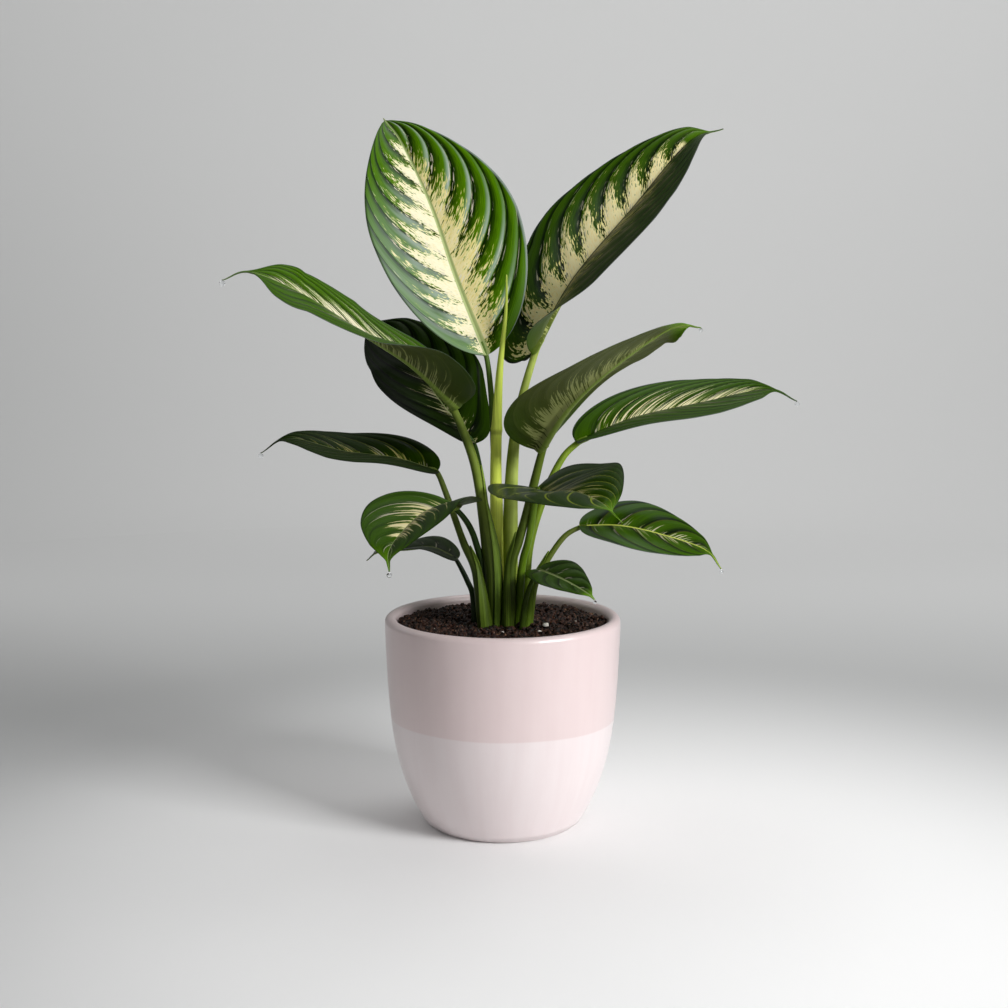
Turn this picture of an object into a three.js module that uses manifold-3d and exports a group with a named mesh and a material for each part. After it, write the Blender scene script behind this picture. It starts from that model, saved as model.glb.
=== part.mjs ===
// A potted dieffenbachia: a glazed ceramic pot, its soil, one rolled new leaf and twelve open leaves.
// Units are millimetres. The pot stands on the plane z = 0 with its axis on z; the front is towards -y.
import * as THREE from "three";
import { mergeVertices } from "three/addons/utils/BufferGeometryUtils.js";
import Module from "manifold-3d";

const wasm = await Module();
wasm.setup();

// ---------------------------------------------------------------- driving dimensions
const GAP = 0.3; // clearance between pieces that touch
const JOINT_GAP = 0.65; // clearance cut into a stalk round the blade on it
const CURVE_TENSION = 0.5;
const MERGE_DISTANCE = 1e-4; // vertices nearer than this are one

const POT_RADIUS = 75;
const POT_WALL = 7.5;
const POT_FLOOR = 9;
const POT_SHOULDER = 125; // height where the wall starts to taper towards the base
const POT_TAPER = 5; // straight part of the taper, at the base
const POT_BELLY = 20.5; // curved part of the taper, at the base
const POT_BELLY_POWER = 3.7;
const POT_FOOT_ROUND = 2.5;
const LIP_LEVEL = 130; // centre of the half-round lip
const POT_SEGMENTS = 48;
const POT_RINGS = 8;
const LIP_STEPS = 4;

const SOIL_AT_WALL = 127.5;
const SOIL_AT_CROWN = 126;
const SOIL_LUMP = 0.7; // height of the gentle unevenness
const SOIL_WAVE = [9, 11]; // its two patterns: lumps, then ridges that run across, along x and y
const SOIL_RIDGE = [17, 8];
const SOIL_CROWN_RADIUS = 1; // flat spot in the middle, which closes the surface
const SOIL_RINGS = 4;
const SOIL_DEPTH_RINGS = 5;

const BLADE_THICKNESS = 0.8;
const BLADE_STEPS = 12;
const BLADE_STRIPS = 6;
const BLADE_LEAST_WIDTH = 0.9;
const BLADE_CURL = -8; // degrees that each half bends down from the midrib to the margin
const BASE_ROUND = 2.2; // exponents of the leaf outline: base, then tip
const TIP_FULL = 1.7;
const TIP_POINT = 1.15;
const BASE_FULLNESS = 0.6; // of a leaf that states none of its own
const LOBE_END = 0.3; // share of the length over which a base lobe runs out
const LOBE_FRONT = 0.6; // exponents of a lobe's outline: along the leaf, then across it
const LOBE_SIDE = 1.5;

const STALK_STEPS = 12;
const STALK_SIDES = 8;
const ROOT_LEVEL = 112; // where the stalks end, under the soil

// Each leaf blade: the line of its midrib from stalk to tip, the way its upper face looks, its
// half width, where it is widest (0 stalk, 1 tip), how full its base is, and, for its left and
// right half, the fold about the midrib in degrees at stalk and tip, and the length of its lobe.
// foldEase above 1 keeps the fold at the stalk to a shorter stretch of the blade.
// Each stalk: its foot (x, y), then points up towards the blade, and radii from foot to blade.
const LEAVES = {
  top_left_leaf: {
    midrib: [[-10, 11, 298], [-29, 20, 345], [-46, 33, 393], [-66, 54, 435], [-79, 73, 453]],
    faces: [0.2, -0.85, 0.5],
    width: 52,
    widest: 0.46,
    fold: [[25, 15], [15, 24]],
    lobe: [0, 0],
    stalk: [[-4, 16], [-4, 15, 196], [-6, 14, 250], [-8, 12, 280]],
    radii: [3.4, 3.2, 3, 2.6, 1.9],
  },
  top_right_leaf: {
    midrib: [[19, 18, 300], [44, 14, 345], [83, 31, 391], [120, 52, 434], [145, 64, 445]],
    faces: [-0.2, -0.4, 0.9],
    width: 51,
    widest: 0.4,
    fold: [[10, 34], [27, 22]],
    lobe: [28, 6],
    stalk: [[5, 10], [5, 12, 196], [7, 14, 240], [12, 16, 270]],
    radii: [4, 4, 3.9, 3.6, 2.6],
  },
  long_left_leaf: {
    midrib: [
      [-29, -8, 266], [-53, -28, 292], [-83, -49, 313],
      [-114, -68, 334], [-142, -78, 346], [-156, -90, 341],
    ],
    faces: [-0.45, -0.5, 0.7],
    width: 36.5,
    widest: 0.39,
    fold: [[95, 9], [22, 7]],
    foldEase: 3,
    lobe: [7, 5],
    stalk: [[-5.5, -2], [-6, -3, 162], [-13, -4, 205], [-19, -5, 235]],
    radii: [4.6, 5.6, 5.4, 3, 2.8],
  },
  back_left_leaf: {
    midrib: [[-18, 39, 240], [-40, 45, 266], [-60, 57, 293], [-81, 73, 316], [-99, 82, 319]],
    faces: [-0.15, -0.2, 0.95],
    width: 42,
    widest: 0.43,
    fold: [[22, 8], [11, 18]],
    lobe: [2, 6],
    stalk: [[-12, 11], [-9, 16, 170], [-12, 25, 205], [-16, 34, 228]],
    radii: [3.4, 3, 2.6, 2.3, 2.1],
  },
  upper_right_leaf: {
    midrib: [[23, -8, 239], [40, -33, 268], [66, -58, 294], [97, -69, 315], [114, -67, 315]],
    faces: [-0.55, 0.4, 0.75],
    width: 40,
    widest: 0.37,
    baseFullness: 0.42,
    fold: [[25, 0], [35, -7]],
    lobe: [2, 0],
    stalk: [[3.5, -6], [5, -6, 163], [10, -6.5, 182], [15, -7, 200]],
    radii: [4.6, 4.2, 3.2, 2.7, 2.8],
  },
  long_right_leaf: {
    midrib: [[48, 31, 242], [86, 37, 257], [132, 42, 267], [174, 47, 275], [195, 49, 267]],
    faces: [0, -0.4, 0.9],
    width: 29,
    widest: 0.42,
    fold: [[18, 11], [29, 1]],
    lobe: [5, 3],
    stalk: [[15, 6.5], [16, 12, 168], [26, 20, 205], [38, 28, 230]],
    radii: [3.6, 3.4, 2.8, 2.5, 2.3],
  },
  middle_left_leaf: {
    midrib: [[-42, 19, 224], [-69, 23, 232], [-103, 28, 236], [-139, 32, 244], [-158, 33, 234]],
    faces: [-0.15, -0.3, 0.95],
    width: 24,
    widest: 0.4,
    fold: [[20, 7], [24, 2]],
    lobe: [8, 4],
    stalk: [[-9, -11], [-16, -9, 160], [-25, -3, 181], [-36, 12, 209]],
    radii: [4.6, 4.4, 2.8, 2.2, 2],
  },
  front_left_leaf: {
    midrib: [[-29, -18, 205], [-46, -36, 205], [-59, -62, 196], [-65, -88, 188], [-64, -99, 178]],
    faces: [-0.05, -0.15, 1],
    width: 31,
    widest: 0.39,
    fold: [[28, 15], [19, 20]],
    lobe: [19, 6],
    stalk: [[-14, -2.5], [-13, -2, 160], [-17, -6, 181], [-22, -12, 194]],
    radii: [2.8, 2.5, 2.3, 2.1, 1.9],
  },
  small_left_leaf: {
    midrib: [[-30, 34, 164], [-47, 39, 171], [-65, 45, 169], [-83, 53, 163], [-92, 57, 160]],
    faces: [0.05, -0.1, 1],
    width: 20,
    widest: 0.42,
    fold: [[12, 13], [14, 10]],
    lobe: [5, 2],
    stalk: [[-17, 5], [-19, 10, 142], [-23, 18, 152]],
    radii: [2.4, 2.1, 1.8, 1.7],
  },
  front_right_leaf: {
    midrib: [[21, -14, 216], [30, -38, 216], [41, -63, 220], [56, -84, 216], [68, -90, 205]],
    faces: [-0.35, 0.25, 0.9],
    width: 40,
    widest: 0.44,
    baseFullness: 0.5,
    fold: [[20, 6], [27, -4]],
    lobe: [12, 20],
    stalk: [[8, 2], [12, -3, 163], [16, -7, 182], [19, -10, 200]],
    radii: [3.4, 2.8, 2.5, 2.3, 2.1],
  },
  lower_right_leaf: {
    midrib: [[49, 6, 190], [75, -2, 191], [103, -4, 185], [128, -4, 176], [138, -7, 164]],
    faces: [0.65, -0.5, 0.6],
    width: 24,
    widest: 0.42,
    fold: [[14, 7], [10, 11]],
    lobe: [4, 0],
    stalk: [[14, -4], [20, -2, 152], [28, 0, 168], [39, 4, 183]],
    radii: [3.6, 3, 2.4, 1.9, 1.8],
  },
  small_right_leaf: {
    midrib: [[22, -7, 164], [30, -19, 163], [40, -29, 160], [51, -38, 155], [56, -42, 151]],
    faces: [-0.05, -0.4, 0.9],
    width: 16,
    widest: 0.4,
    fold: [[17, 11], [14, 13]],
    lobe: [3, 4],
    stalk: [[11, -12], [14, -11, 142], [17, -9, 153]],
    radii: [2.6, 2, 1.7, 1.5],
  },
};

const ROLLED_LEAF = {
  line: [[-3, 7], [-4, 7, 200], [-4, 7, 240], [-2, 7, 285], [2, 6, 325], [2.5, 4, 348]],
  radii: [3.8, 3.7, 3.7, 3.2, 1.7, 0.4],
};

// ---------------------------------------------------------------- materials
function material(color, roughness) {
  return new THREE.MeshStandardMaterial({ color, roughness, metalness: 0 });
}

const GLAZE = material(0xe6cfd1, 0.3);
const EARTH = material(0x35241b, 0.95);
const BLADE_GREEN = material(0x3f7a35, 0.4);
const STALK_GREEN = material(0x7d9a4e, 0.5);
const NEW_LEAF_GREEN = material(0xb9c66a, 0.5);

// ---------------------------------------------------------------- geometry helpers
function vector([x, y, z]) {
  return new THREE.Vector3(x, y, z);
}

// Smooth curve through hand-placed points.
function curveThrough(points) {
  return new THREE.CatmullRomCurve3(points.map(vector), false, "catmullrom", CURVE_TENSION);
}

// Closed body from rings of equal length, with a fan over the first and the last ring.
function loft(rings) {
  const count = rings[0].length;
  const positions = rings.flat().flatMap((p) => [p.x, p.y, p.z]);
  const index = [];
  for (let ring = 0; ring + 1 < rings.length; ring++) {
    for (let side = 0; side < count; side++) {
      const a = ring * count + side;
      const b = ring * count + ((side + 1) % count);
      index.push(a, b, b + count, a, b + count, a + count);
    }
  }
  const last = (rings.length - 1) * count;
  for (let side = 1; side + 1 < count; side++) {
    index.push(0, side + 1, side);
    index.push(last, last + side, last + side + 1);
  }
  const geometry = new THREE.BufferGeometry();
  geometry.setAttribute("position", new THREE.Float32BufferAttribute(positions, 3));
  geometry.setIndex(index);
  geometry.computeVertexNormals();
  return geometry;
}

// Value of a list of radii at a place from 0 to 1 along it.
function along(list, t) {
  const place = t * (list.length - 1);
  const low = Math.min(Math.floor(place), list.length - 2);
  return THREE.MathUtils.lerp(list[low], list[low + 1], place - low);
}

// Round rod of changing radius along a curve, grown by a margin on every side.
function rod(points, radii, margin) {
  const curve = curveThrough(points);
  const frames = curve.computeFrenetFrames(STALK_STEPS, false);
  const rings = [];
  for (let step = 0; step <= STALK_STEPS; step++) {
    const t = step / STALK_STEPS;
    const centre = curve.getPointAt(t);
    if (step === 0) centre.addScaledVector(frames.tangents[0], -margin);
    if (step === STALK_STEPS) centre.addScaledVector(frames.tangents[step], margin);
    const radius = along(radii, t) + margin;
    const ring = [];
    for (let side = 0; side < STALK_SIDES; side++) {
      const angle = (side / STALK_SIDES) * 2 * Math.PI;
      ring.push(
        centre
          .clone()
          .addScaledVector(frames.normals[step], radius * Math.cos(angle))
          .addScaledVector(frames.binormals[step], radius * Math.sin(angle)),
      );
    }
    rings.push(ring);
  }
  return loft(rings);
}

// Boolean cuts, and only those, are left to manifold-3d.
function solidFrom(geometry) {
  const bare = geometry.clone();
  bare.deleteAttribute("normal");
  bare.deleteAttribute("uv");
  const merged = mergeVertices(bare, MERGE_DISTANCE);
  return new wasm.Manifold(
    new wasm.Mesh({
      numProp: 3,
      vertProperties: new Float32Array(merged.attributes.position.array),
      triVerts: new Uint32Array(merged.index.array),
    }),
  );
}

function geometryFrom(solid) {
  const mesh = solid.getMesh();
  const geometry = new THREE.BufferGeometry();
  geometry.setAttribute("position", new THREE.BufferAttribute(mesh.vertProperties, 3));
  geometry.setIndex(new THREE.BufferAttribute(mesh.triVerts, 1));
  geometry.computeVertexNormals();
  return geometry;
}

// What is left of a body after cuts, without loose slivers.
function largestBody(solid) {
  const bodies = solid.decompose();
  return bodies.reduce((best, body) => (body.volume() > best.volume() ? body : best));
}

// ---------------------------------------------------------------- pot
// Outside radius of the wall below the shoulder.
function wallRadius(height) {
  const drop = Math.max(0, (POT_SHOULDER - height) / POT_SHOULDER);
  return POT_RADIUS - POT_TAPER * drop - POT_BELLY * drop ** POT_BELLY_POWER;
}

function insideRadius(height) {
  return wallRadius(height) - POT_WALL;
}

function potGeometry() {
  const profile = [new THREE.Vector2(0, 0), new THREE.Vector2(wallRadius(0) - POT_FOOT_ROUND, 0)];
  for (let ring = 0; ring <= POT_RINGS; ring++) {
    const height = THREE.MathUtils.lerp(POT_FOOT_ROUND, POT_SHOULDER, ring / POT_RINGS);
    profile.push(new THREE.Vector2(wallRadius(height), height));
  }
  const lip = POT_WALL / 2;
  for (let step = 0; step <= LIP_STEPS; step++) {
    const angle = (step / LIP_STEPS) * Math.PI;
    const radius = POT_RADIUS - lip + lip * Math.cos(angle);
    profile.push(new THREE.Vector2(radius, LIP_LEVEL + lip * Math.sin(angle)));
  }
  for (let ring = POT_RINGS; ring >= 0; ring--) {
    const height = THREE.MathUtils.lerp(POT_FLOOR, POT_SHOULDER, ring / POT_RINGS);
    profile.push(new THREE.Vector2(insideRadius(height), height));
  }
  profile.push(new THREE.Vector2(0, POT_FLOOR));
  const geometry = new THREE.LatheGeometry(profile, POT_SEGMENTS);
  geometry.rotateX(Math.PI / 2);
  return geometry;
}

// ---------------------------------------------------------------- soil
// Height of the soil's surface: a shallow dish with a few soft lumps.
function soilHeight(x, y) {
  const share = Math.hypot(x, y) / insideRadius(POT_SHOULDER);
  const waves = Math.sin(x / SOIL_WAVE[0] + 1) * Math.cos(y / SOIL_WAVE[1]);
  const lumps = waves + Math.sin(x / SOIL_RIDGE[0] - y / SOIL_RIDGE[1]);
  return THREE.MathUtils.lerp(SOIL_AT_CROWN, SOIL_AT_WALL, share ** 2) + (SOIL_LUMP * lumps) / 2;
}

function soilRing(radius, heightAt) {
  const ring = [];
  for (let side = 0; side < POT_SEGMENTS; side++) {
    const angle = (side / POT_SEGMENTS) * 2 * Math.PI;
    const x = radius * Math.cos(angle);
    const y = radius * Math.sin(angle);
    ring.push(new THREE.Vector3(x, y, heightAt(x, y)));
  }
  return ring;
}

function soilGeometry() {
  const rings = [];
  for (let ring = 0; ring <= SOIL_DEPTH_RINGS; ring++) {
    const height = THREE.MathUtils.lerp(POT_FLOOR + GAP, POT_SHOULDER, ring / SOIL_DEPTH_RINGS);
    rings.push(soilRing(insideRadius(height) - 2 * GAP, () => height));
  }
  const edge = insideRadius(POT_SHOULDER) - 2 * GAP;
  for (let ring = SOIL_RINGS; ring > 0; ring--) {
    rings.push(soilRing((edge * ring) / SOIL_RINGS, soilHeight));
  }
  rings.push(soilRing(SOIL_CROWN_RADIUS, soilHeight));
  return loft(rings);
}

// ---------------------------------------------------------------- leaf blades
// Half width along the blade, as a share of the greatest half width.
function outline(t, leaf) {
  const { widest, baseFullness = BASE_FULLNESS } = leaf;
  if (t < widest) {
    return (1 - ((widest - t) / widest) ** BASE_ROUND) ** baseFullness;
  }
  return (1 - ((t - widest) / (1 - widest)) ** TIP_FULL) ** TIP_POINT;
}

// Distance out from the midrib and up from it, at a share of the half width, for a half that
// starts at the fold angle and bends evenly towards the margin.
function halfSection(share, foldAngle) {
  const bend = THREE.MathUtils.degToRad(BLADE_CURL);
  const start = THREE.MathUtils.degToRad(foldAngle);
  const end = start + bend * share;
  return {
    out: (Math.sin(end) - Math.sin(start)) / bend,
    up: (Math.cos(start) - Math.cos(end)) / bend,
  };
}

// Where the midrib is at one place along a blade, and the blade's forward, up and right there.
function bladeFrame(curve, leaf, t) {
  const centre = curve.getPointAt(t);
  const forward = curve.getTangentAt(t);
  const up = vector(leaf.faces).normalize();
  up.addScaledVector(forward, -up.dot(forward)).normalize();
  const right = new THREE.Vector3().crossVectors(forward, up);
  return { centre, forward, up, right };
}

// Points across a blade at one place along it, from left margin to right.
function bladeStation(curve, leaf, t, margin) {
  const { centre, forward, up, right } = bladeFrame(curve, leaf, t);
  if (t === 0) centre.addScaledVector(forward, -margin);
  if (t === 1) centre.addScaledVector(forward, margin);
  const halfWidth = Math.max(leaf.width * outline(t, leaf), BLADE_LEAST_WIDTH) + margin;
  const station = [];
  for (let strip = 0; strip <= BLADE_STRIPS; strip++) {
    const across = (2 * strip) / BLADE_STRIPS - 1;
    const share = Math.abs(across);
    const half = across > 0 ? 1 : 0;
    const [foldAtStalk, foldAtTip] = leaf.fold[half];
    const eased = (1 - t) ** (leaf.foldEase ?? 1);
    const foldAngle = THREE.MathUtils.lerp(foldAtTip, foldAtStalk, eased);
    const { out, up: rise } = halfSection(share, foldAngle);
    const lobePlace = Math.min(t / LOBE_END, 1) ** LOBE_FRONT;
    const lobe = leaf.lobe[half] * Math.sin(Math.PI * lobePlace) * share ** LOBE_SIDE;
    const point = centre
      .clone()
      .addScaledVector(right, Math.sign(across) * halfWidth * out)
      .addScaledVector(up, halfWidth * rise)
      .addScaledVector(forward, -lobe);
    station.push(point);
  }
  return station;
}

// Surface direction at each point of a grid of stations.
function gridNormals(stations) {
  const lastStation = stations.length - 1;
  return stations.map((station, row) =>
    station.map((point, column) => {
      const ahead = stations[Math.min(row + 1, lastStation)][column];
      const behind = stations[Math.max(row - 1, 0)][column];
      const right = station[Math.min(column + 1, station.length - 1)];
      const left = station[Math.max(column - 1, 0)];
      const forward = new THREE.Vector3().subVectors(ahead, behind);
      const across = new THREE.Vector3().subVectors(right, left);
      return new THREE.Vector3().crossVectors(across, forward).normalize();
    }),
  );
}

// Closed sheet in the shape of a blade, grown by a margin on every side.
function bladeGeometry(leaf, margin) {
  const curve = curveThrough(leaf.midrib);
  const stations = [];
  for (let step = 0; step <= BLADE_STEPS; step++) {
    const t = (1 - Math.cos((Math.PI * step) / BLADE_STEPS)) / 2;
    stations.push(bladeStation(curve, leaf, t, margin));
  }
  const normals = gridNormals(stations);
  const half = BLADE_THICKNESS / 2 + margin;
  const rings = stations.map((station, row) => {
    const top = station.map((p, i) => p.clone().addScaledVector(normals[row][i], half));
    const under = station.map((p, i) => p.clone().addScaledVector(normals[row][i], -half));
    return [...top, ...under.reverse()];
  });
  return loft(rings);
}

// ---------------------------------------------------------------- stalks
// A stalk's points: its foot under the soil, its own points, and its end, which lies against the
// underside of the midrib where the blade starts.
function stalkPoints(leaf) {
  const [[x, y], ...rest] = leaf.stalk;
  const { centre, up } = bladeFrame(curveThrough(leaf.midrib), leaf, 0);
  centre.addScaledVector(up, -(BLADE_THICKNESS / 2 + GAP));
  return [[x, y, ROOT_LEVEL], ...rest, centre.toArray()];
}

function rolledLeafPoints() {
  const [[x, y], ...rest] = ROLLED_LEAF.line;
  return [[x, y, ROOT_LEVEL], ...rest];
}

// ---------------------------------------------------------------- assembly
const plant = new THREE.Group();

function addPiece(name, geometry, finish) {
  const mesh = new THREE.Mesh(geometry, finish);
  mesh.name = name;
  plant.add(mesh);
}

addPiece("pot", potGeometry(), GLAZE);

// Stems give way to the stems made before them, and to every blade that they would touch.
const stemSpaces = [];
const bladeSpaces = Object.values(LEAVES).map((leaf) => solidFrom(bladeGeometry(leaf, JOINT_GAP)));

function addStem(name, points, radii, finish) {
  let stem = solidFrom(rod(points, radii, 0));
  for (const space of [...stemSpaces, ...bladeSpaces]) stem = stem.subtract(space);
  stem = largestBody(stem);
  stemSpaces.push(solidFrom(rod(points, radii, GAP)));
  addPiece(name, geometryFrom(stem), finish);
}

addStem("rolled_new_leaf", rolledLeafPoints(), ROLLED_LEAF.radii, NEW_LEAF_GREEN);
for (const [name, leaf] of Object.entries(LEAVES)) {
  addStem(`${name}_stalk`, stalkPoints(leaf), leaf.radii, STALK_GREEN);
}
for (const [name, leaf] of Object.entries(LEAVES)) {
  addPiece(`${name}_blade`, bladeGeometry(leaf, 0), BLADE_GREEN);
}

let soil = solidFrom(soilGeometry());
for (const space of stemSpaces) soil = soil.subtract(space);
addPiece("soil", geometryFrom(largestBody(soil)), EARTH);

export default plant;
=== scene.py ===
"""A potted dieffenbachia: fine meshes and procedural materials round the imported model.

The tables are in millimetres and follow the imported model's own dimensions. Everything that is built
is in metres, in the model's frame: z up, the front towards -y.
"""

import math

import bmesh
import bpy
import numpy as np
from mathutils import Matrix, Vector


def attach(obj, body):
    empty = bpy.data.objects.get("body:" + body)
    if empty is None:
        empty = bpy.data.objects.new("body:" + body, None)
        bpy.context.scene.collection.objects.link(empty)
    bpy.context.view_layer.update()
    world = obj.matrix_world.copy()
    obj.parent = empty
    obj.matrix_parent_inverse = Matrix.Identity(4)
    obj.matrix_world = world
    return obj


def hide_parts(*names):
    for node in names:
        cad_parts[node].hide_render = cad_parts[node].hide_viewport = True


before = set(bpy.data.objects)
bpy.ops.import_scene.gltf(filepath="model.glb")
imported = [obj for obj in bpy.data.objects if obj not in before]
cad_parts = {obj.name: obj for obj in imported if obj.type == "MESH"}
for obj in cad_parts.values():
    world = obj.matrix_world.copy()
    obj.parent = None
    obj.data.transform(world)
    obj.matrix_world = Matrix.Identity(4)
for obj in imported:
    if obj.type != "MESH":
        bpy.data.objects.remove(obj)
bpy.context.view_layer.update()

MM = 0.001
CURVE_SAMPLES = 24  # steps between two given points of a curve
LEFT, RIGHT = 0, 1  # the halves of a blade, with its tip ahead and its upper face up

# ---------------------------------------------------------------- driving dimensions, in mm
POT_RADIUS = 75
POT_WALL = 7.5
POT_FLOOR = 9
POT_SHOULDER = 125
POT_TAPER = 5  # how much the wall narrows evenly from the shoulder to the foot
POT_BELLY = 20.5  # how much more it narrows in a curve, mostly near the foot
POT_BELLY_POWER = 3.7
POT_FOOT_ROUND = 2.5
POT_SEGMENTS = 192
LIP_LEVEL = 130
GLAZE_LINE = 67  # height of the line between the two tones of glaze, before its tilt and sway
GLAZE_TILT = 1.8  # how far the line rises and sinks on its way round the pot
GLAZE_SWAY = 3  # how far it wanders besides
GLAZE_BLUR = 0.6  # half of the width in which one tone becomes the other

SOIL_AT_WALL = 127.5
SOIL_AT_CROWN = 126
SOIL_WAVES = 0.35
SOIL_ROUGHNESS = (-0.6, 0.4)  # lowest and highest of single points
SOIL_RADIUS = POT_RADIUS - POT_WALL - 0.6
SOIL_BELOW = [(SOIL_RADIUS, 110), (48, 14), (0.4, 10)]  # radius and height down to the pot's floor
CRUMBS = 3200
CRUMB_SIZES = (0.9, 3.4)  # smallest and largest width
PERLITE_GRAINS = 16
PERLITE_SIZES = (0.8, 1.6)
BIG_GRAINS = [(27.3, -10.7, 3.2), (22.6, -28.3, 2.5), (-4.0, -16.0, 1.6), (14.0, -34.0, 1.3)]  # x, y, size

BLADE_THICKNESS = 0.5
BLADE_CURL = -8  # degrees that a half turns between the midrib and the margin
BLADE_ROWS = 150
HALF_COLUMNS = 34
BASE_ROUND = 2.2  # powers in the outline: higher is fuller
TIP_FULL = 1.7
LOBE_END = 0.3  # share of the blade over which its base can reach back
DRIP_NARROWING = 0.93  # share of the width that is gone where the drip tip starts
DRIP_WIDTH = 2.2  # greatest half width of the drip tip
TIP_WIDTH = 0.35  # half width at the very end
TIP_TAPER = 12  # how much wider it gets over a whole length
VEIN_GROOVE = 0.35  # depth of the groove along the midrib
ROOT_LEVEL = 112  # where the stalks end, under the soil

# A vein leaves the midrib, leans towards the tip, and hooks along the margin at its end.
VEIN_HOOK = 0.17
VEIN_HOOK_POWER = 4
VEIN_BASE = 0.7  # share of the blade over which the lean grows from nothing
VEIN_CROWDING = 1.35  # how much closer together the veins are at the stalk than on average
SIDE_SHIFT = 0.35  # veins of the two halves don't meet
DASH_WIDTH = 0.95  # of the finest cream strokes

SEED_STEP = 11  # between the patterns of two leaves

# ---------------------------------------------------------------- stage, in metres
STAGE_SIDES = 96
FLOOR_RADIUS = 1.4
BEND = 0.7  # radius of the bend between the floor and the backdrop
BACKDROP_TOP = 3.0
LAMPS = [  # name, place, size, power
    ("key", (1.05, -0.85, 0.85), 0.55, 21.5),
    ("overhead", (0.2, 0.4, 1.4), 0.8, 4),
    ("left_rim", (-1.1, 0.6, 0.9), 0.7, 1),
]
LAMP_TARGET = (0, 0, 0.25)
WORLD_LIGHT = 0.215
LENS = 49.85
EYE = (0, -0.8761, 0.3117)
EYE_DOWN = 6.97  # degrees
EYE_TURN = -0.056


# ---------------------------------------------------------------- colours
def paint(red, green, blue):
    """Linear colour from screen values of 0 to 255."""
    linear = [((c / 255 + 0.055) / 1.055) ** 2.4 if c > 10 else c / 3294.6 for c in (red, green, blue)]
    return (*linear, 1)


def scaled(colour, share):
    return tuple(c * share for c in colour[:3]) + (1,)


CREAM = paint(250, 243, 214)
TAN = paint(226, 210, 130)
CREAM_EDGE = paint(176, 196, 70)
LEAF_GREEN = paint(80, 126, 0)
DEEP_GREEN = paint(12, 32, 0)
SILVER_AND_HIGHLIGHT_GREEN = paint(172, 188, 176)
MIDRIB_GREEN = paint(166, 182, 120)
TIP_GREEN = paint(120, 170, 30)
DULL_GREEN = paint(48, 62, 38)
UNDER_GREEN = paint(84, 94, 36)
UNDER_PALE = paint(172, 178, 112)
STALK_GREEN = paint(118, 142, 54)


# ---------------------------------------------------------------- leaves
# A pair is for the left and the right half of a blade. Shape of a leaf:
#   midrib: points from the stalk to the tip; faces: where the upper face looks
#   width: greatest half width; widest: where it is; fold: degrees a half rises, at the stalk and at the tip
#   fold_ease: how soon the one becomes the other; lobe: how far the base reaches back
#   base_fullness, points: lower is a fuller base or tip; tails: where the drip tip starts and ends
#   rolls: (half, from and to along the blade, from where across it, degrees)
#   detail: fineness of the mesh; stalk: root (x, y), then points up to the blade; radii: along the stalk
#   veins: count; lean: of the veins; relief: height of the pillows between them
# Look of a leaf, as shares unless stated:
#   tone, under_tone: lightness of the faces, the leaf's own and painted shade; gloss; shade: painted shade
#       on each half
#   contrast: of the painted light and shade on the pillows; dull; tip: light green tip
#   silver: the leaf's silver and painted highlight on the pillows; sheen: painted sheen
#   along the margin; pale_veins; pale_margin: a painted highlight along the margin
#   rib_width: of the midrib at the tip and at the stalk, in mm
#   streaks, stroke: how far the cream strokes reach, and their width and length in mm
#   fingers, dashes, patches, sparse: cream along the veins, in short dashes, in patches, and less of it
#   specks, tan: cream specks, and darker cream, partly painted shade where a half lies in shade
#   cream_, under_: (place along the blade, reach of the cream across it) on the upper and under face
def leaf(**own):
    """A leaf of the table, with the usual value for whatever it doesn't say."""
    tone = own["tone"]
    no_cream = [(0, 0.0), (1, 0.0)]
    usual = dict(
        fold_ease=1, base_fullness=0.6, points=(1.15, 1.15), tails=((0.8, 0.93), (0.8, 0.93)), rolls=(),
        lean=(0.2, 0.2), under_tone=max(tone, 0.5), gloss=0.2, contrast=1.0, shade=(1.0, 1.0),
        dull=(0.0, 0.0), tip=0.0, silver=(0.0, 0.0), sheen=(0.0, 0.0), pale_veins=(0.0, 0.0),
        pale_margin=(0.0, 0.0), rib_width=(0.3, 1.3), rib_colour=scaled(MIDRIB_GREEN, 0.4 + 0.6 * tone),
        stroke=(2.2, 11), fingers=(0.1, 0.1), dashes=0.9, patches=(0.4, 0.4), sparse=(0.0, 0.0),
        specks=0.7, tan=(0.08, 0.5), cream_tone=0.35 + 0.65 * tone, cream_left=no_cream,
        cream_right=no_cream, under_left=own.get("cream_left", no_cream),
        under_right=own.get("cream_right", no_cream),
    )
    return {**usual, **own}


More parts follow.
